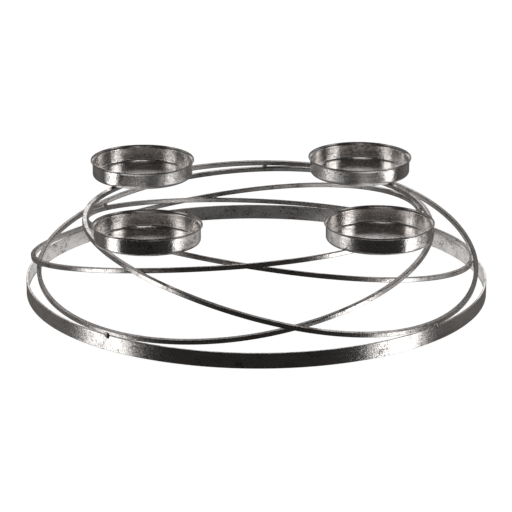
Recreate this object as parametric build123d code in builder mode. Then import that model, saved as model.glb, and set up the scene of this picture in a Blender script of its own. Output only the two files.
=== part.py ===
# Wreath frame for four pillar candles: a flat band standing on edge as the base circle,
# four tilted rings of square rod that weave over each other, and four shallow dishes.
# Millimetres, +Z up. The origin is on the table, at the centre of the base circle.
import os
from math import asin, atan2, cos, hypot, pi, radians, sin, sqrt, tan

from build123d import *

# Base band, a strip on edge
BAND_RADIUS = 200.0
BAND_THICKNESS = 2.0
BAND_HEIGHT = 13.2

# Square rod of the four rings
ROD = 3.8
REST_GAP = 0.2

# Candle dishes of thin sheet
DISH_CIRCLE = 136.4
DISH_TOP = 90.0
DISH_HEIGHT = 15.5
DISH_WALL_RADIUS = 44.6
DISH_LIP_RADIUS = 46.3
DISH_LIP_HEIGHT = 2.2
DISH_SHEET = 1.0
DISH_CORNER = 3.0

# Weld beads
DISH_BEAD = 3.6
CROSS_BEAD = 2.2
SEAM_BEAD = 1.6
BEAD_SIDES = 10
BEAD_CHAMFER = 0.4
SEAM_AZIMUTH = 118.0
SEAM_END_GAP = 0.6

# Each ring runs from its foot on the band up to the middle of the dish across from it.
# foot and dish are azimuths in degrees. The rest is how far the rod leaves a flat circle,
# in millimetres: bow lifts both sides, roll one side, twist two opposite quarters.
RINGS = {
    "back_right": {"foot": 226.8, "dish": 45.0, "bow": 3.8, "roll": 1.5, "twist": -1.9},
    "back_left": {"foot": 312.5, "dish": 135.0, "bow": 16.8, "roll": -2.0, "twist": -0.5},
    "front_left": {"foot": 45.2, "dish": 225.0, "bow": -6.4, "roll": -2.8, "twist": 0.6},
    "front_right": {"foot": 137.8, "dish": 315.0, "bow": 7.9, "roll": 2.8, "twist": -1.4},
}

# How each dish was set by hand on the middle of its ring: its shift along X and Y in millimetres,
# and its lean in degrees, which lowers its back.
SEATS = {
    "back_right": {"shift": (1.7, -0.4), "lean": 0.0},
    "back_left": {"shift": (-0.3, -0.6), "lean": 0.0},
    "front_left": {"shift": (0.0, 2.0), "lean": 2.0},
    "front_right": {"shift": (0.3, 0.0), "lean": 0.0},
}

# The bead at each ring's foot: its azimuth on the band, which may be a little beside the foot, and its size
FOOT_WELDS = {
    "back_right": {"azimuth": 229.0, "size": 3.7},
    "back_left": {"azimuth": 315.2, "size": 2.8},
    "front_left": {"azimuth": 45.2, "size": 2.8},
    "front_right": {"azimuth": 137.8, "size": 2.8},
}

# Where two rods touch and are tacked together: upper ring, lower ring, azimuth
CROSSINGS = [
    ("back_left", "back_right", 90.0),
    ("back_left", "front_left", 0.0),
    ("back_left", "front_right", 225.0),
    ("back_right", "front_left", 135.0),
    ("back_right", "front_right", 5.0),
    ("front_right", "back_right", 188.0),
    ("front_right", "front_left", 93.0),
    ("front_right", "front_left", 273.0),
]

DISH_FLOOR = DISH_TOP - DISH_HEIGHT
FOOT_RADIUS = BAND_RADIUS - BAND_THICKNESS
RING_BLANK = 60.0
BLANK_OVERSIZE = 1.5
CIRCLE_STEPS = 720
REACH_STEPS = 90
SEARCH_STEPS = 8
SEARCH_ZOOM = 3
SEARCH_SPAN = radians(14)
SEARCH_END = radians(0.02)


def polar(radius, azimuth, height=0.0):
    """A point from its distance to the middle, its azimuth in degrees and its height."""
    return Vector(radius * cos(radians(azimuth)), radius * sin(radians(azimuth)), height)


class Ring:
    """The centre line of one rod ring, bent from a circle in a tilted plane."""

    def __init__(self, foot, dish, bow, roll, twist):
        self.bow = bow
        self.roll = roll
        self.twist = twist
        rise = DISH_FLOOR - BAND_HEIGHT - ROD
        tilt = asin(rise / hypot(FOOT_RADIUS + DISH_CIRCLE, rise))
        half_rod = ROD / 2 / cos(tilt)
        edge_drop = ROD / 2 * tan(tilt)
        low = polar(FOOT_RADIUS, foot, BAND_HEIGHT + half_rod + edge_drop + REST_GAP)
        high = polar(DISH_CIRCLE, dish, DISH_FLOOR - half_rod - edge_drop - REST_GAP)
        self.set_ends(low, high)
        # Raise the foot and lower the dish end until the whole rod clears band and dish.
        keel = min(self.point(angle).Z for angle in self.angles_near(0))
        crown = max(self.point(angle).Z for angle in self.angles_near(pi))
        low += Vector(0, 0, low.Z - keel)
        self.set_ends(low, high - Vector(0, 0, crown - high.Z))

    def set_ends(self, low, high):
        """Put the plane and the circle between the foot and the dish."""
        self.radius = (low - high).length / 2
        toward_foot = (low - high).normalized()
        sideways = Vector(0, 0, 1).cross(toward_foot).normalized()
        normal = toward_foot.cross(sideways)
        self.plane = Plane(origin=(low + high) / 2, x_dir=toward_foot, z_dir=normal)

    def angles_near(self, middle):
        """Angles from the foot, in radians, of a stretch as long as a dish is wide."""
        reach = DISH_WALL_RADIUS / self.radius
        steps = range(-REACH_STEPS, REACH_STEPS + 1)
        return [middle + reach * step / REACH_STEPS for step in steps]

    def lift(self, angle):
        """How far the rod stands off the plane at an angle from the foot."""
        bow = self.bow * (1 - cos(2 * angle)) / 2
        return bow + self.roll * sin(angle) + self.twist * sin(2 * angle)

    def point(self, angle):
        """A point of the centre line at an angle from the foot."""
        local = Vector(self.radius * cos(angle), self.radius * sin(angle), self.lift(angle))
        return self.plane.from_local_coords(local)

    def underside(self):
        """The ruled saddle that holds the rod's lower face, with corners beyond the ring."""
        swing = atan2(self.twist, -self.bow / 2) / 2
        saddle = sqrt(self.bow**2 / 4 + self.twist**2) / self.radius**2
        reach = self.radius * BLANK_OVERSIZE
        corners = []
        for quarter in range(4):
            x = reach * cos(swing + quarter * pi / 2)
            y = reach * sin(swing + quarter * pi / 2)
            curve = saddle * reach**2 * (1 if quarter % 2 == 0 else -1)
            height = self.bow / 2 + self.roll * y / self.radius + curve - ROD / 2
            corners.append(self.plane.from_local_coords(Vector(x, y, height)))
        return Face.make_bezier_surface([[corners[0], corners[1]], [corners[3], corners[2]]])


def angle_facing(ring, azimuth):
    """The angle round a ring at which it lies at an azimuth seen from the middle."""
    def offset_from_aim(angle):
        point = ring.point(angle)
        turn = atan2(point.Y, point.X) - radians(azimuth)
        return 1 - cos(turn)

    angles = [2 * pi * step / CIRCLE_STEPS for step in range(CIRCLE_STEPS)]
    return min(angles, key=offset_from_aim)


def meeting_point(upper, lower, azimuth):
    """The middle of the narrowest gap between two rods' centre lines near an azimuth."""
    above = angle_facing(upper, azimuth)
    below = angle_facing(lower, azimuth)
    span = SEARCH_SPAN
    while span > SEARCH_END:
        steps = [span * step / SEARCH_STEPS for step in range(-SEARCH_STEPS, SEARCH_STEPS + 1)]
        pairs = [(above + i, below + j) for i in steps for j in steps]
        gaps = [(upper.point(i) - lower.point(j)).length for i, j in pairs]
        above, below = pairs[gaps.index(min(gaps))]
        span /= SEARCH_ZOOM
    return (upper.point(above) + lower.point(below)) / 2


def weld_bead(centre, size, joined_parts):
    """A blunt bead as high and as wide as twice its size, cut by the parts that it joins."""
    with BuildPart() as bead:
        with BuildSketch(Plane(origin=centre - Vector(0, 0, size), z_dir=(0, 0, 1))):
            RegularPolygon(size, BEAD_SIDES)
        extrude(amount=2 * size)
        chamfer(bead.faces().filter_by(Axis.Z).edges(), size * BEAD_CHAMFER)
        for joined in joined_parts:
            add(joined, mode=Mode.SUBTRACT)
    return bead.part


def save(piece, name):
    """Label a finished piece and write it to its own file."""
    piece.label = name
    export_step(piece, f"parts/{name}.step")


os.makedirs("parts", exist_ok=True)

# Base band: one closed strip on edge
with BuildPart() as base_band:
    with BuildSketch(Plane.XY):
        Circle(BAND_RADIUS)
        Circle(BAND_RADIUS - BAND_THICKNESS, mode=Mode.SUBTRACT)
    extrude(amount=BAND_HEIGHT)
save(base_band.part, "base_band")

# The upright bead inside the band where the strip's ends meet, at the back
with BuildPart() as band_seam_weld:
    seam = polar(BAND_RADIUS - BAND_THICKNESS, SEAM_AZIMUTH)
    with BuildSketch(Plane.XY.offset(SEAM_END_GAP)):
        with Locations((seam.X, seam.Y)):
            Circle(SEAM_BEAD)
    extrude(amount=BAND_HEIGHT - 2 * SEAM_END_GAP)
    add(base_band.part, mode=Mode.SUBTRACT)
save(band_seam_weld.part, "band_seam_weld")

# Four rings of square rod, each cut from a flat ring by its saddle
rings = {name: Ring(**values) for name, values in RINGS.items()}
rods = {}
for name, ring in rings.items():
    with BuildPart() as rod_ring:
        with BuildSketch(ring.plane.offset(-RING_BLANK / 2)):
            Circle(ring.radius + ROD / 2)
            Circle(ring.radius - ROD / 2, mode=Mode.SUBTRACT)
        extrude(amount=RING_BLANK)
        extrude(ring.underside(), amount=ROD, dir=ring.plane.z_dir, mode=Mode.INTERSECT)
    rods[name] = rod_ring.part
    save(rod_ring.part, f"rod_ring_{name}")

# Four dishes, each spun from sheet with a flat floor and a flared lip
dishes = {}
for name, seat in SEATS.items():
    centre = polar(DISH_CIRCLE, RINGS[name]["dish"], DISH_FLOOR) + Vector(*seat["shift"], 0)
    upright = Vector(0, sin(radians(seat["lean"])), cos(radians(seat["lean"])))
    inner_wall = DISH_WALL_RADIUS - DISH_SHEET
    inner_corner = DISH_CORNER - DISH_SHEET
    lip_start = DISH_HEIGHT - DISH_LIP_HEIGHT
    with BuildPart() as candle_dish:
        with BuildSketch(Plane(origin=centre, x_dir=(1, 0, 0), z_dir=Vector(1, 0, 0).cross(upright))):
            with BuildLine():
                Line((0, 0), (DISH_WALL_RADIUS - DISH_CORNER, 0))
                RadiusArc(
                    (DISH_WALL_RADIUS - DISH_CORNER, 0), (DISH_WALL_RADIUS, DISH_CORNER), -DISH_CORNER
                )
                Polyline(
                    (DISH_WALL_RADIUS, DISH_CORNER),
                    (DISH_WALL_RADIUS, lip_start),
                    (DISH_LIP_RADIUS, DISH_HEIGHT),
                    (DISH_LIP_RADIUS - DISH_SHEET, DISH_HEIGHT),
                    (inner_wall, lip_start),
                    (inner_wall, DISH_CORNER),
                )
                RadiusArc((inner_wall, DISH_CORNER), (inner_wall - inner_corner, DISH_SHEET), inner_corner)
                Polyline((inner_wall - inner_corner, DISH_SHEET), (0, DISH_SHEET), (0, 0))
            make_face()
        revolve(axis=Axis(centre, upright))
    dishes[name] = candle_dish.part
    save(candle_dish.part, f"candle_dish_{name}")

# A bead at each foot, between the rod and the top edge of the band
for name, weld in FOOT_WELDS.items():
    foot = polar(FOOT_RADIUS, weld["azimuth"], BAND_HEIGHT)
    save(weld_bead(foot, weld["size"], [base_band.part, rods[name]]), f"foot_weld_{name}")

# A bead under each dish, between its floor and the top of its ring
for name, ends in RINGS.items():
    crown = polar(DISH_CIRCLE, ends["dish"], DISH_FLOOR - DISH_BEAD)
    save(weld_bead(crown, DISH_BEAD, [rods[name], dishes[name]]), f"dish_weld_{name}")

# A bead at each place where two rods touch
for upper, lower, azimuth in CROSSINGS:
    meeting = meeting_point(rings[upper], rings[lower], azimuth)
    bead = weld_bead(meeting, CROSS_BEAD, [rods[upper], rods[lower]])
    save(bead, f"cross_weld_{upper}_on_{lower}_{azimuth:03.0f}")
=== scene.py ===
# The looks of the wreath frame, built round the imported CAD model. Metres, +Z up.
from math import cos, pi, radians, sin

import bmesh
import bpy
import numpy as np
from mathutils import Matrix, Vector


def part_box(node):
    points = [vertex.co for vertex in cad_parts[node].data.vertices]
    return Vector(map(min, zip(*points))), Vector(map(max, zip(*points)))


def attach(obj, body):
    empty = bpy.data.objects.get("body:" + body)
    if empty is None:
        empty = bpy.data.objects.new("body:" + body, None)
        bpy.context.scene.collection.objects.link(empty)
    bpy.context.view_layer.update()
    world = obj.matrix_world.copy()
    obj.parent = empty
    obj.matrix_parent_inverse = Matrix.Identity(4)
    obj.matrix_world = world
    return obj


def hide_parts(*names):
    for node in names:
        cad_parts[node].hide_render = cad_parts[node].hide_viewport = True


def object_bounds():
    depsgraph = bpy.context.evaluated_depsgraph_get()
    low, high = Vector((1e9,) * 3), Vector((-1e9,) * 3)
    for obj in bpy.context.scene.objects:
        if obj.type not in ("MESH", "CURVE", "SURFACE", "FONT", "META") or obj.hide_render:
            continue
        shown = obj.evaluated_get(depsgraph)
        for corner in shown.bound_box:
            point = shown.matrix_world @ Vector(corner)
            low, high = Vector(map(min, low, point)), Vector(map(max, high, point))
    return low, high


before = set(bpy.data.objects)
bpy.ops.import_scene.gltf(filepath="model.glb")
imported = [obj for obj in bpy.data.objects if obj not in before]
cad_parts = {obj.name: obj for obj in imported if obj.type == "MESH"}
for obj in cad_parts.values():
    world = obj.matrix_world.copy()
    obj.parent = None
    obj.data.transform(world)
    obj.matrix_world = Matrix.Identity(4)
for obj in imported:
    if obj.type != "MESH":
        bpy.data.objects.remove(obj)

cad_low, cad_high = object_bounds()
MM = 0.001
RINGS = ["back_right", "back_left", "front_left", "front_right"]
ROD_STATIONS = 480
BAND_STATIONS = 720
DISH_STATIONS = 288
GRAIN_DRAW = 0.08          # how far the grain is drawn out along a rod, band or dish wall
HEM = 0.15 * MM            # the strip beside a round corner that fades from edge to face
CORNER_STEPS = 4
ROD_CORNER = 0.45 * MM
BAND_CORNER = 0.35 * MM
BAND_UNEVEN = 0.10 * MM

# Candle dishes
SHEET = 1.0 * MM
LIP_HEIGHT = 2.2 * MM      # the flared top of a dish
LIP_RIM = 0.6 * MM
DISH_CORNER = 3.0 * MM
INNER_CORNER = 1.8 * MM
UNDERSIDE = 0.5 * MM       # points this close to the lowest are on a dish's flat underside
FLARE_CURVE = 1.6          # how late the lip turns out
FLARE_OUTSIDE = 0.55       # the share of the lip's height that the turn takes on each side
FLARE_INSIDE = 0.45
OUT_OF_ROUND = 0.003
FLOOR_SHARES = (0.25, 0.5, 0.75, 0.95)
WALL_SHARES = (0.05, 0.35, 0.65, 0.95, 1.0)
FLARE_SHARES = (0.3, 0.6, 1.0)

# Weld beads. The core and the heights are shares of half the bead.
BEAD_CORE = 0.86
LUMPS = 9
LUMP_HEIGHT = 0.16
LUMP_POINT = 6             # the higher, the more pointed the lumps
RIPPLES = 9
RIPPLE_HEIGHT = 0.03
LUMP_TOP = 0.8             # above this the bead counts as rubbed edge


# ---------------------------------------------------------------- mesh making

def vertices_of(node):
    """The vertices of a CAD node, one row each."""
    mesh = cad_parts[node].data
    points = np.empty(len(mesh.vertices) * 3)
    mesh.vertices.foreach_get("co", points)
    return points.reshape(-1, 3)


def thinnest(points):
    """The direction in which a flat cloud of points is thinnest, facing up."""
    normal = np.linalg.svd(points - points.mean(axis=0), full_matrices=False)[2][2]
    return normal if normal[2] > 0 else -normal


def circle_frame(points, normal):
    """The centre of the circle that best fits points seen along a normal, and two axes across it."""
    across = np.cross([0, 1, 0], normal)
    across /= np.linalg.norm(across)
    along = np.cross(normal, across)
    middle = points.mean(axis=0)
    flat = np.stack([(points - middle) @ across, (points - middle) @ along], axis=1)
    squares = (flat**2).sum(axis=1)
    fit = np.linalg.lstsq(np.column_stack([2 * flat, np.ones(len(flat))]), squares, rcond=None)[0]
    return middle + fit[0] * across + fit[1] * along, across, along


def wander(angle, seed, waves):
    """A smooth random curve that closes on itself round a circle, mostly between -1 and 1."""
    random = np.random.default_rng(seed)
    total = np.zeros_like(angle)
    weight = 0
    for wave in waves:
        total += random.uniform(0.5, 1) * np.sin(wave * angle + random.uniform(0, 2 * pi))
        weight += 0.75
    return total / weight**0.5


def rounded_outline(half_width, half_height, corner, rows=1):
    """A bar's outline with round corners, and how much of each point is edge (1) or face (0)."""
    points, edge = [], []
    quarters = [(1, -1, -90), (1, 1, 0), (-1, 1, 90), (-1, -1, 180)]
    for side_x, side_y, start in quarters:
        centre = np.array([side_x * (half_width - corner), side_y * (half_height - corner)])
        turns = [radians(start + 90 * step / CORNER_STEPS) for step in range(CORNER_STEPS + 1)]
        arc = [centre + corner * np.array([cos(turn), sin(turn)]) for turn in turns]
        into = HEM * np.array([-sin(turns[0]), cos(turns[0])])
        out = HEM * np.array([-sin(turns[-1]), cos(turns[-1])])
        points += [arc[0] - into, *arc, arc[-1] + out]
        # The corner points are marked as edge, which the finish paints with shade as a dark rim.
        edge += [0.0] + [1.0] * len(arc) + [0.0]
    all_points, all_edge = [], []
    for index, here in enumerate(points):
        following = points[(index + 1) % len(points)]
        all_points.append(here)
        all_edge.append(edge[index])
        if edge[index] == 0 and edge[(index + 1) % len(points)] == 0:
            for row in range(1, rows):
                all_points.append(here + (following - here) * row / rows)
                all_edge.append(0.0)
    return np.array(all_points), np.array(all_edge)


def closed_sweep(name, points, edge, grain):
    """A mesh from points [station][outline], closed both ways. The finish reads edge and grain."""
    stations, count = points.shape[:2]
    faces = []
    for i in range(stations):
        here = i * count
        following = (i + 1) % stations * count
        for j in range(count):
            beside = (j + 1) % count
            faces.append((here + j, following + j, following + beside, here + beside))
    across = unit(np.roll(points, -1, axis=1) - np.roll(points, 1, axis=1))
    return finished_mesh(
        name, points.reshape(-1, 3), faces, edge.reshape(-1), grain.reshape(-1, 3), across.reshape(-1, 3)
    )


def unit(directions):
    """Directions scaled to length 1."""
    return directions / np.linalg.norm(directions, axis=-1, keepdims=True)


def finished_mesh(name, points, faces, edge, grain, across=None):
    """A smooth mesh with its outside facing out, carrying what the finish reads.

    edge is how far a point is on an edge, which the finish paints as a dark rim of shade (on weld lumps, as
    rubbed wear), grain the place that the streaks are drawn from, and across the direction on the surface
    across the grain.
    """
    mesh = bpy.data.meshes.new(name)
    mesh.from_pydata(points.tolist(), [], faces)
    work = bmesh.new()
    work.from_mesh(mesh)
    bmesh.ops.recalc_face_normals(work, faces=work.faces)
    work.to_mesh(mesh)
    work.free()
    kept = mesh.attributes.new("edge", "FLOAT", "POINT").data
    kept.foreach_set("value", edge.astype(np.float32))
    kept = mesh.attributes.new("grain", "FLOAT_VECTOR", "POINT").data
    kept.foreach_set("vector", grain.astype(np.float32).ravel())
    if across is not None:
        kept = mesh.attributes.new("across", "FLOAT_VECTOR", "POINT").data
        kept.foreach_set("vector", across.astype(np.float32).ravel())
    mesh.shade_smooth()
    return mesh


def place(mesh, material, node):
    """Put a finished mesh in the scene in place of its CAD node."""
    piece = bpy.data.objects.new(mesh.name, mesh)
    bpy.context.scene.collection.objects.link(piece)
    mesh.materials.append(material)
    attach(piece, "root")
    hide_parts(node)


# ---------------------------------------------------------------- finishes

class Nodes:
    """A material's node tree, with short calls for the few nodes used here."""

    def __init__(self, name):
        self.material = bpy.data.materials.new(name)
        self.material.use_nodes = True
        self.tree = self.material.node_tree
        self.shader = self.tree.nodes["Principled BSDF"]

    def add(self, kind, **settings):
        node = self.tree.nodes.new(kind)
        for key, value in settings.items():
            setattr(node, key, value)
        return node

    def link(self, source, target):
        self.tree.links.new(source, target)

    def noise(self, vector, scale, detail=4.0, roughness=0.6):
        node = self.add("ShaderNodeTexNoise")
        node.inputs["Scale"].default_value = scale
        node.inputs["Detail"].default_value = detail
        node.inputs["Roughness"].default_value = roughness
        self.link(vector, node.inputs["Vector"])
        return node.outputs["Fac"]

    def ramp(self, value, *stops):
        node = self.add("ShaderNodeValToRGB")
        ramp = node.color_ramp
        while len(ramp.elements) < len(stops):
            ramp.elements.new(0.5)
        for element, (place_on_ramp, shade) in zip(ramp.elements, stops):
            element.position = place_on_ramp
            colour = shade if isinstance(shade, tuple) else (shade, shade, shade)
            element.color = (*colour, 1)
        self.link(value, node.inputs["Fac"])
        return node.outputs["Color"]

    def math(self, operation, first, second):
        node = self.add("ShaderNodeMath", operation=operation)
        for socket, value in zip(node.inputs, (first, second)):
            if isinstance(value, (int, float)):
                socket.default_value = value
            else:
                self.link(value, socket)
        return node.outputs["Value"]

    def mix(self, blend, factor, first, second):
        node = self.add("ShaderNodeMix", data_type="RGBA", blend_type=blend)
        colours = [socket for socket in node.inputs if socket.type == "RGBA"]
        for socket, value in zip([node.inputs["Factor"], *colours], (factor, first, second)):
            if isinstance(value, (int, float)):
                socket.default_value = value
            elif isinstance(value, tuple):
                socket.default_value = (*value, 1)
            else:
                self.link(value, socket)
        return next(socket for socket in node.outputs if socket.type == "RGBA")

    def attribute(self, name, output):
        node = self.add("ShaderNodeAttribute", attribute_name=name)
        return node.outputs[output]


# Where the patina noise passes from dark pores to plain metal to worn shine
PORE = 0.40
METAL = 0.465
SHINE = 0.60
SMOOTH = 0.48
SMOOTHEST = 0.66

CLOUD_SCALE = 75.0
DENT_SCALE = 320.0
SPECK_SCALE = 900.0
STREAK_SCALE = 700.0
SPECK_SHARE = 0.60         # the rest of the patina is clouds
STREAK_MIX = 0.35
SHINE_GAIN = 1.12          # how much lighter the shine is than plain metal
PORE_ROUGHNESS = 0.25      # added in the pores
SHINE_ROUGHNESS = 0.7      # of the plain metal's


def aged_silver(name, bright, dark, polish, grain_depth, dent=0.5, shade_and_rub_share=0.5, rim_shade=None, drawn=0.0):
    """Silver gone dark in its pores, with the grain drawn along the metal.

    polish is the roughness of plain metal, and dent how much of the grain's depth is broad dents.
    Edges are mixed, by the shade-and-rub share, toward the rim shade colour, a painted dark rim of shade on
    rods, band and dish lips; without a rim colour they lighten to bright, as rubbed wear on weld lumps. drawn
    is how far reflections are stretched across the grain.
    """
    nodes = Nodes(name)
    place_on_piece = nodes.add("ShaderNodeTexCoord").outputs["Object"]
    grain_place = nodes.attribute("grain", "Vector")
    edge = nodes.attribute("edge", "Fac")

    clouds = nodes.noise(place_on_piece, CLOUD_SCALE, detail=5.0, roughness=0.65)
    dents = nodes.noise(place_on_piece, DENT_SCALE, detail=2.0, roughness=0.6)
    specks = nodes.noise(place_on_piece, SPECK_SCALE, detail=3.0, roughness=0.75)
    streaks = nodes.noise(grain_place, STREAK_SCALE, detail=3.0, roughness=0.6)

    cloud_part = nodes.math("MULTIPLY", clouds, 1 - SPECK_SHARE)
    patina = nodes.math("ADD", cloud_part, nodes.math("MULTIPLY", specks, SPECK_SHARE))
    light = tuple(min(1.0, c * SHINE_GAIN) for c in bright)
    colour = nodes.ramp(patina, (PORE, dark), (METAL, bright), (SHINE, light))
    streak_shade = nodes.ramp(streaks, (0.35, 0.55), (0.6, 1.0))
    streaked = nodes.mix("MULTIPLY", STREAK_MIX, colour, streak_shade)
    # Painted shade: rod, band and dish edges are mixed toward a dark rim colour. Weld lump tops, given no rim
    # colour, lighten to bright as rubbed wear.
    painted_rim_and_rub = nodes.math("MULTIPLY", edge, shade_and_rub_share)
    nodes.link(nodes.mix("MIX", painted_rim_and_rub, streaked, rim_shade or bright), nodes.shader.inputs["Base Color"])
    nodes.shader.inputs["Metallic"].default_value = 1.0

    dull = min(1.0, polish + PORE_ROUGHNESS)
    rough = nodes.ramp(patina, (PORE, dull), (SMOOTH, polish), (SMOOTHEST, polish * SHINE_ROUGHNESS))
    nodes.link(rough, nodes.shader.inputs["Roughness"])

    fine = nodes.math("ADD", nodes.math("MULTIPLY", specks, 0.5), nodes.math("MULTIPLY", streaks, 0.25))
    height = nodes.math("ADD", fine, nodes.math("MULTIPLY", dents, dent))
    bump = nodes.add("ShaderNodeBump")
    bump.inputs["Strength"].default_value = 1.0
    bump.inputs["Distance"].default_value = grain_depth
    nodes.link(height, bump.inputs["Height"])
    nodes.link(bump.outputs["Normal"], nodes.shader.inputs["Normal"])
    if drawn:
        nodes.shader.inputs["Anisotropic"].default_value = drawn
        nodes.link(nodes.attribute("across", "Vector"), nodes.shader.inputs["Tangent"])
    return nodes.material


SILVER = (0.82, 0.79, 0.77)
POLISHED_SILVER = (0.89, 0.86, 0.84)
# Painted shade along the band's rounded edges.
BAND_RIM_SHADE = (0.36, 0.34, 0.32)
# The patina in the pores, also used as the painted dark shade on rod corners and dish lips.
TARNISH_AND_RIM_SHADE = (0.13, 0.11, 0.10)
WELD_SILVER = (0.54, 0.51, 0.49)
WELD_TARNISH = (0.15, 0.13, 0.12)

# Rods and dishes get painted dark rims of shade on their edges, and the band a lighter painted shade.
rod_finish = aged_silver(
    "rod silver", SILVER, TARNISH_AND_RIM_SHADE, polish=0.26, grain_depth=0.12 * MM, shade_and_rub_share=0.75, rim_shade=TARNISH_AND_RIM_SHADE, drawn=0.7
)
band_finish = aged_silver(
    "band silver", SILVER, TARNISH_AND_RIM_SHADE, polish=0.26, grain_depth=0.14 * MM, shade_and_rub_share=0.6, rim_shade=BAND_RIM_SHADE, drawn=0.8
)
dish_finish = aged_silver(
    "dish silver", POLISHED_SILVER, TARNISH_AND_RIM_SHADE, polish=0.20, grain_depth=0.14 * MM,
    dent=0.85, shade_and_rub_share=0.6, rim_shade=TARNISH_AND_RIM_SHADE, drawn=0.7,
)
weld_finish = aged_silver("weld metal", WELD_SILVER, WELD_TARNISH, polish=0.34, grain_depth=0.12 * MM)


# ---------------------------------------------------------------- base band

def build_band():
    """The flat strip rolled into the base ring, with rounded edges and a trace of unevenness."""
    points = vertices_of("base_band")
    low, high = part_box("base_band")
    radii = np.hypot(points[:, 0], points[:, 1])
    half_thickness = (radii.max() - radii.min()) / 2
    middle = (radii.max() + radii.min()) / 2
    half_height = (high.z - low.z) / 2
    outline, edge = rounded_outline(half_thickness, half_height, BAND_CORNER, rows=3)
    angle = np.linspace(0, 2 * pi, BAND_STATIONS, endpoint=False)
    uneven = BAND_UNEVEN * (wander(angle, 11, (4, 7, 11, 17)) - 1) / 2
    radius = middle + outline[None, :, 0] + uneven[:, None]
    height = low.z + half_height + outline[None, :, 1] + 0 * radius
    x = radius * np.cos(angle)[:, None]
    y = radius * np.sin(angle)[:, None]
    swept = np.stack([x, y, height], axis=2)
    mesh = closed_sweep("base_band_steel", swept, *grained(angle, outline, edge, middle))
    place(mesh, band_finish, "base_band")


def grained(angle, outline, edge, radius):
    """The edge values and grain places of a sweep with this outline round a circle of this radius."""
    steps = np.linalg.norm(np.diff(outline, axis=0), axis=1)
    across = np.concatenate([[0], np.cumsum(steps)])
    drawn = radius * GRAIN_DRAW
    grain = np.empty((len(angle), len(outline), 3))
    grain[:, :, 0] = drawn * np.cos(angle)[:, None]
    grain[:, :, 1] = drawn * np.sin(angle)[:, None]
    grain[:, :, 2] = across[None, :]
    return np.tile(edge, (len(angle), 1)), grain


# ---------------------------------------------------------------- rod rings

def lift_waves(angle):
    """The waves that a ring's lift off its plane is made of."""
    waves = [wave(turns * angle) for turns in (1, 2, 3) for wave in (np.cos, np.sin)]
    return np.column_stack([np.ones(len(angle)), *waves])


def ring_course(node):
    """Where a rod ring runs: its centre, axes and radius, the rod's half side and its lift round the ring."""
    points = vertices_of(node)
    normal = thinnest(points)
    centre, across, along = circle_frame(points, normal)
    away = points - centre
    angle = np.arctan2(away @ along, away @ across)
    radii = np.hypot(away @ along, away @ across)
    curve = np.linalg.lstsq(lift_waves(angle), away @ normal, rcond=None)[0]
    inner, outer = np.percentile(radii, 5), np.percentile(radii, 95)
    return centre, (across, along, normal), (outer + inner) / 2, (outer - inner) / 2, curve


def build_ring(name):
    """One square-rod ring with softened corners, bent as its CAD node is."""
    node = f"rod_ring_{name}"
    centre, (across, along, normal), radius, half, curve = ring_course(node)
    outline, edge = rounded_outline(half, half, ROD_CORNER)
    angle = np.linspace(0, 2 * pi, ROD_STATIONS, endpoint=False)
    lift = lift_waves(angle) @ curve
    r = radius + outline[None, :, 0] + 0 * lift[:, None]
    h = lift[:, None] + outline[None, :, 1]
    swept = (
        centre
        + (r * np.cos(angle)[:, None])[:, :, None] * across
        + (r * np.sin(angle)[:, None])[:, :, None] * along
        + h[:, :, None] * normal
    )
    mesh = closed_sweep(f"rod_ring_{name}_steel", swept, *grained(angle, outline, edge, radius))
    place(mesh, rod_finish, node)


# ---------------------------------------------------------------- candle dishes

def arc_points(centre, radius, first, last, steps):
    """Points on an arc, angles in degrees."""
    turns = [radians(first + (last - first) * step / steps) for step in range(steps + 1)]
    return [(centre[0] + radius * cos(turn), centre[1] + radius * sin(turn)) for turn in turns]


def dish_profile(lip_radius, wall_radius, height):
    """Half the section of a pressed dish, from the middle of its underside round the lip to its floor."""
    wall_top = height - LIP_HEIGHT
    flare = lip_radius - wall_radius
    outer_floor = wall_radius - DISH_CORNER
    outside = [(outer_floor * share, 0) for share in (0, *FLOOR_SHARES)]
    outside += arc_points((outer_floor, DISH_CORNER), DISH_CORNER, -90, 0, 8)
    outside += [(wall_radius, DISH_CORNER + (wall_top - DISH_CORNER) * share) for share in WALL_SHARES]
    outside += [
        (wall_radius + flare * share**FLARE_CURVE, wall_top + LIP_HEIGHT * FLARE_OUTSIDE * share)
        for share in FLARE_SHARES
    ]
    outside += [(lip_radius, height - LIP_RIM / 2)]
    lip = arc_points((lip_radius - LIP_RIM / 2, height - LIP_RIM / 2), LIP_RIM / 2, 15, 165, 6)
    inside = [(lip_radius - LIP_RIM, height - LIP_RIM)]
    inner_wall = wall_radius - SHEET
    inner_flare = flare + SHEET - LIP_RIM
    inside += [
        (inner_wall + inner_flare * share**FLARE_CURVE, wall_top + LIP_HEIGHT * FLARE_INSIDE * share)
        for share in reversed(FLARE_SHARES)
    ]
    inside += [
        (inner_wall, DISH_CORNER + (wall_top - DISH_CORNER) * share) for share in reversed(WALL_SHARES)
    ]
    inner_floor = inner_wall - INNER_CORNER
    inside += arc_points((inner_floor, SHEET + INNER_CORNER), INNER_CORNER, 0, -90, 6)
    inside += [(inner_floor * share, SHEET) for share in (*reversed(FLOOR_SHARES), 0)]
    return np.array(outside + lip + inside)


def dish_course(node):
    """Where a dish stands: the middle of its underside, its axes, its height, and its lip and wall radii."""
    points = vertices_of(node)
    upright = thinnest(points)
    height = points @ upright
    upright = thinnest(points[height < height.min() + UNDERSIDE])
    height = points @ upright
    centre, across, along = circle_frame(points, upright)
    away = points - centre
    radii = np.hypot(away @ across, away @ along)
    base = centre + (height.min() - centre @ upright) * upright
    tall = height.max() - height.min()
    wall_radius = radii[height < height.min() + tall / 2].max()
    return base, (across, along, upright), tall, radii.max(), wall_radius


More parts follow.
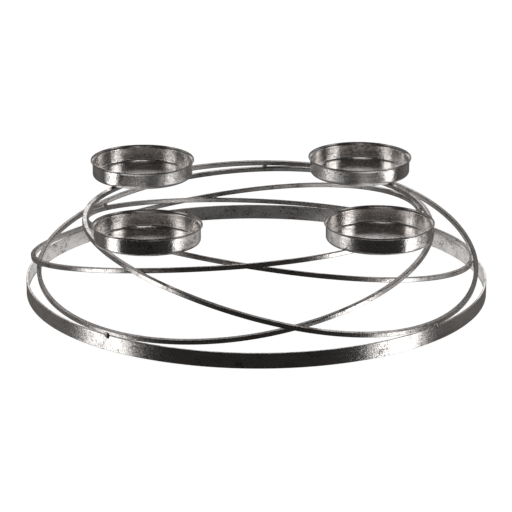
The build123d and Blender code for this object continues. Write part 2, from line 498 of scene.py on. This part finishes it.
def build_dish(name, seed):
    """One shallow candle dish, pressed from sheet and spun about its own axis."""
    node = f"candle_dish_{name}"
    base, axes, tall, lip_radius, wall_radius = dish_course(node)
    profile = dish_profile(lip_radius, wall_radius, tall)
    angle = np.linspace(0, 2 * pi, DISH_STATIONS, endpoint=False)
    ring_profile = profile[1:-1]
    count = len(ring_profile)
    wobble = 1 - OUT_OF_ROUND * (1 + wander(angle, seed, (2, 3, 5))) / 2
    outward = np.cos(angle)[:, None] * axes[0] + np.sin(angle)[:, None] * axes[1]
    reach = ring_profile[None, :, 0] * wobble[:, None]
    spun = base + reach[:, :, None] * outward[:, None, :] + ring_profile[None, :, 1, None] * axes[2]
    spun = spun.reshape(-1, 3)
    poles = np.array([base, base + SHEET * axes[2]])
    faces = []
    for i in range(DISH_STATIONS):
        here = i * count
        following = (i + 1) % DISH_STATIONS * count
        for j in range(count - 1):
            faces.append((here + j, following + j, following + j + 1, here + j + 1))
        faces.append((len(spun), following, here))
        faces.append((len(spun) + 1, here + count - 1, following + count - 1))
    steps = np.linalg.norm(np.diff(ring_profile, axis=0), axis=1)
    along_profile = np.concatenate([[0], np.cumsum(steps)])
    grain = np.empty((DISH_STATIONS, count, 3))
    grain[:, :, 0] = wall_radius * GRAIN_DRAW * np.cos(angle)[:, None]
    grain[:, :, 1] = wall_radius * GRAIN_DRAW * np.sin(angle)[:, None]
    grain[:, :, 2] = along_profile[None, :]
    grain = np.vstack([grain.reshape(-1, 3), [[0, 0, 0], [0, 0, along_profile[-1]]]])
    # The lip is marked as edge, which the dish finish paints as a dark rim of shade.
    level = ring_profile[:, 1]
    past_crest = np.arange(count) > level.argmax()
    on_lip = ((level > tall - SHEET) | (past_crest & (level > tall - LIP_HEIGHT))).astype(float)
    edge = np.concatenate([np.tile(on_lip, DISH_STATIONS), [0, 0]])
    across = unit(np.gradient(spun.reshape(DISH_STATIONS, count, 3), axis=1)).reshape(-1, 3)
    across = np.vstack([across, [axes[0], axes[0]]])
    mesh = finished_mesh(f"candle_dish_{name}_steel", np.vstack([spun, poles]), faces, edge, grain, across)
    place(mesh, dish_finish, node)


# ---------------------------------------------------------------- welds

def build_weld(node, seed):
    """A small lumpy bead of weld metal that fills its CAD node's box."""
    low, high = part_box(node)
    middle = (np.array(low) + np.array(high)) / 2
    half = (np.array(high) - np.array(low)) / 2
    random = np.random.default_rng(seed)
    work = bmesh.new()
    bmesh.ops.create_icosphere(work, subdivisions=4, radius=1)
    directions = np.array([vertex.co[:] for vertex in work.verts])
    lumps = np.zeros(len(directions))
    for _ in range(LUMPS):
        towards = random.normal(size=3)
        towards /= np.linalg.norm(towards)
        lumps += random.uniform(0.4, 1) * np.clip(directions @ towards, 0, 1) ** LUMP_POINT
    ripple = np.sin(directions @ (random.normal(size=3) * RIPPLES))
    size = BEAD_CORE + LUMP_HEIGHT * lumps + RIPPLE_HEIGHT * ripple
    points = np.clip(directions * size[:, None], -1, 1) * half + middle
    faces = [tuple(vertex.index for vertex in face.verts) for face in work.faces]
    work.free()
    edge = np.clip(lumps - LUMP_TOP, 0, 1)
    mesh = finished_mesh(f"{node}_bead", points, faces, edge, points)
    place(mesh, weld_finish, node)


build_band()
for seed, ring_name in enumerate(RINGS, start=20):
    build_ring(ring_name)
    build_dish(ring_name, seed)
welds = sorted(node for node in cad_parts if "weld" in node)
for seed, weld_node in enumerate(welds, start=40):
    build_weld(weld_node, seed)


# ---------------------------------------------------------------- floor, light and camera

FLOOR_RADIUS = 5.0
FLOOR_SIDES = 96
FLOOR_DROP = 0.2 * MM      # keeps the floor clear of the band's underside
CARD_DROP = 0.5 * MM
MIDDLE_CARD_RADIUS = 0.197
MIDDLE_CARD_SIDES = 72
MIDDLE_CARD_SIDE = 0.14    # where the middle card reaches its full glow


def circle_points(radius, count):
    """Points round a circle about the middle."""
    turns = [2 * pi * i / count for i in range(count)]
    return [(radius * cos(turn), radius * sin(turn)) for turn in turns]


def flat_sheet(name, outline, height):
    """A flat object with this outline at a height, not yet staged."""
    mesh = bpy.data.meshes.new(name)
    mesh.from_pydata([(x, y, height) for x, y in outline], [], [tuple(range(len(outline)))])
    sheet = bpy.data.objects.new(name, mesh)
    bpy.context.scene.collection.objects.link(sheet)
    return sheet


def build_floor():
    """A plain pale floor that the polished metal doesn't mirror, so that the metal shows the studio."""
    floor = flat_sheet("floor", circle_points(FLOOR_RADIUS, FLOOR_SIDES), -FLOOR_DROP)
    nodes = Nodes("floor paper")
    place_on_floor = nodes.add("ShaderNodeTexCoord").outputs["Object"]
    paper = nodes.noise(place_on_floor, 300.0)
    nodes.link(nodes.ramp(paper, (0.3, 0.28), (0.7, 0.30)), nodes.shader.inputs["Base Color"])
    nodes.shader.inputs["Roughness"].default_value = 0.9
    nodes.shader.inputs["Specular IOR Level"].default_value = 0.0
    nodes.shader.inputs["Emission Color"].default_value = (1, 1, 1, 1)
    nodes.shader.inputs["Emission Strength"].default_value = 0.95
    floor.data.materials.append(nodes.material)
    floor.visible_glossy = False
    floor.visible_shadow = False


def build_card(name, outline, shade_at_middle, shade_at_side, side):
    """A card just below the floor, seen only in the metal.

    Its glow changes with the distance left or right of the middle of the table, up to side.
    """
    card = flat_sheet(name, outline, -CARD_DROP)
    nodes = Nodes(f"{name} paper")
    place_on_card = nodes.add("ShaderNodeTexCoord").outputs["Object"]
    parts = nodes.add("ShaderNodeSeparateXYZ")
    nodes.link(place_on_card, parts.inputs["Vector"])
    sideways = nodes.math("DIVIDE", nodes.math("ABSOLUTE", parts.outputs["X"], 0), side)
    paper = nodes.math("MULTIPLY", nodes.math("SUBTRACT", nodes.noise(place_on_card, 25.0), 0.5), 0.5)
    glow = nodes.ramp(nodes.math("ADD", sideways, paper), (0.35, shade_at_middle), (1.0, shade_at_side))
    nodes.link(glow, nodes.shader.inputs["Emission Color"])
    nodes.shader.inputs["Emission Strength"].default_value = 1.0
    nodes.shader.inputs["Base Color"].default_value = (0, 0, 0, 1)
    nodes.shader.inputs["Specular IOR Level"].default_value = 0.0
    card.data.materials.append(nodes.material)
    card.visible_camera = False
    card.visible_diffuse = False
    card.visible_shadow = False


def build_cards():
    """The dim middle card inside the base ring, and an evenly bright one beyond its right side."""
    middle = circle_points(MIDDLE_CARD_RADIUS, MIDDLE_CARD_SIDES)
    build_card("middle_card", middle, 0.10, 0.70, MIDDLE_CARD_SIDE)
    near, far, front_edge, back_edge = 0.28, 0.45, -0.24, -0.02
    right = [(near, front_edge), (far, front_edge), (far, back_edge), (near, back_edge)]
    build_card("right_card", right, 1.0, 1.0, MIDDLE_CARD_SIDE)


def direction(azimuth, elevation):
    """The direction at an azimuth, counted from the front toward the right, and an elevation."""
    return Vector((sin(azimuth) * cos(elevation), -cos(azimuth) * cos(elevation), sin(elevation)))


def add_softbox(name, azimuth, elevation, distance, width, height, power):
    """A soft rectangular light that faces the middle of the object."""
    light = bpy.data.lights.new(name, "AREA")
    light.shape = "RECTANGLE"
    light.size = width
    light.size_y = height
    light.energy = power
    lamp = bpy.data.objects.new(name, light)
    bpy.context.scene.collection.objects.link(lamp)
    away = direction(radians(azimuth), radians(elevation))
    lamp.location = (cad_low + cad_high) / 2 + away * distance
    lamp.rotation_mode = "QUATERNION"
    lamp.rotation_quaternion = away.to_track_quat("Z", "Y")
    lamp.visible_camera = False


def build_world():
    """A room that is white to the camera. The metal sees it dark, and a little lighter toward the back."""
    world = bpy.data.worlds.new("studio")
    bpy.context.scene.world = world
    world.use_nodes = True
    nodes = world.node_tree.nodes
    link = world.node_tree.links.new
    nodes.clear()
    toward = nodes.new("ShaderNodeTexCoord")
    parts = nodes.new("ShaderNodeSeparateXYZ")
    depth = nodes.new("ShaderNodeValToRGB")
    depth.color_ramp.elements[0].position = 0.0
    depth.color_ramp.elements[0].color = (0.022, 0.021, 0.020, 1)
    depth.color_ramp.elements[1].position = 0.45
    depth.color_ramp.elements[1].color = (0.12, 0.116, 0.112, 1)
    room = nodes.new("ShaderNodeBackground")
    seen = nodes.new("ShaderNodeBackground")
    seen.inputs["Color"].default_value = (1, 1, 1, 1)
    path = nodes.new("ShaderNodeLightPath")
    mixer = nodes.new("ShaderNodeMixShader")
    output = nodes.new("ShaderNodeOutputWorld")
    link(toward.outputs["Generated"], parts.inputs["Vector"])
    link(parts.outputs["Y"], depth.inputs["Fac"])
    link(depth.outputs["Color"], room.inputs["Color"])
    link(path.outputs["Is Camera Ray"], mixer.inputs["Fac"])
    link(room.outputs["Background"], mixer.inputs[1])
    link(seen.outputs["Background"], mixer.inputs[2])
    link(mixer.outputs["Shader"], output.inputs["Surface"])


CAMERA_AZIMUTH = radians(-3.338)
CAMERA_ELEVATION = radians(18.481)
CAMERA_ROLL = radians(0.210)
CAMERA_DISTANCE = 2.477
CAMERA_SIDE_SHIFT = -0.000424
CAMERA_AIM_HEIGHT = 0.029124
LENS = 200.24
SENSOR_WIDTH = 36


def place_camera():
    """A long lens a little above the table, in front of the object."""
    back = direction(CAMERA_AZIMUTH, CAMERA_ELEVATION)
    right = Vector((cos(CAMERA_AZIMUTH), sin(CAMERA_AZIMUTH), 0))
    up = back.cross(right)
    right_rolled = right * cos(CAMERA_ROLL) + up * sin(CAMERA_ROLL)
    up_rolled = up * cos(CAMERA_ROLL) - right * sin(CAMERA_ROLL)
    camera_data = bpy.data.cameras.new("camera")
    camera_data.lens = LENS
    camera_data.sensor_width = SENSOR_WIDTH
    camera = bpy.data.objects.new("camera", camera_data)
    bpy.context.scene.collection.objects.link(camera)
    spot = right * CAMERA_SIDE_SHIFT + Vector((0, 0, CAMERA_AIM_HEIGHT)) + back * CAMERA_DISTANCE
    turn = Matrix((right_rolled, up_rolled, back)).transposed().to_4x4()
    camera.matrix_world = Matrix.Translation(spot) @ turn
    bpy.context.scene.camera = camera


build_floor()
build_cards()
add_softbox("left box", -79, 0, distance=2.2, width=1.0, height=3.2, power=17)
add_softbox("right box", 68, 0, distance=2.2, width=0.95, height=3.2, power=22.5)
add_softbox("top box", 0, 90, distance=2.4, width=0.7, height=0.7, power=3)
add_softbox("back box", 180, 19, distance=3.0, width=3.6, height=0.8, power=10)
add_softbox("left wing", -118, 22, distance=2.6, width=1.4, height=1.2, power=4)
add_softbox("right wing", 118, 22, distance=2.6, width=1.4, height=1.2, power=4)
build_world()
place_camera()
bpy.context.scene.view_settings.view_transform = "Standard"
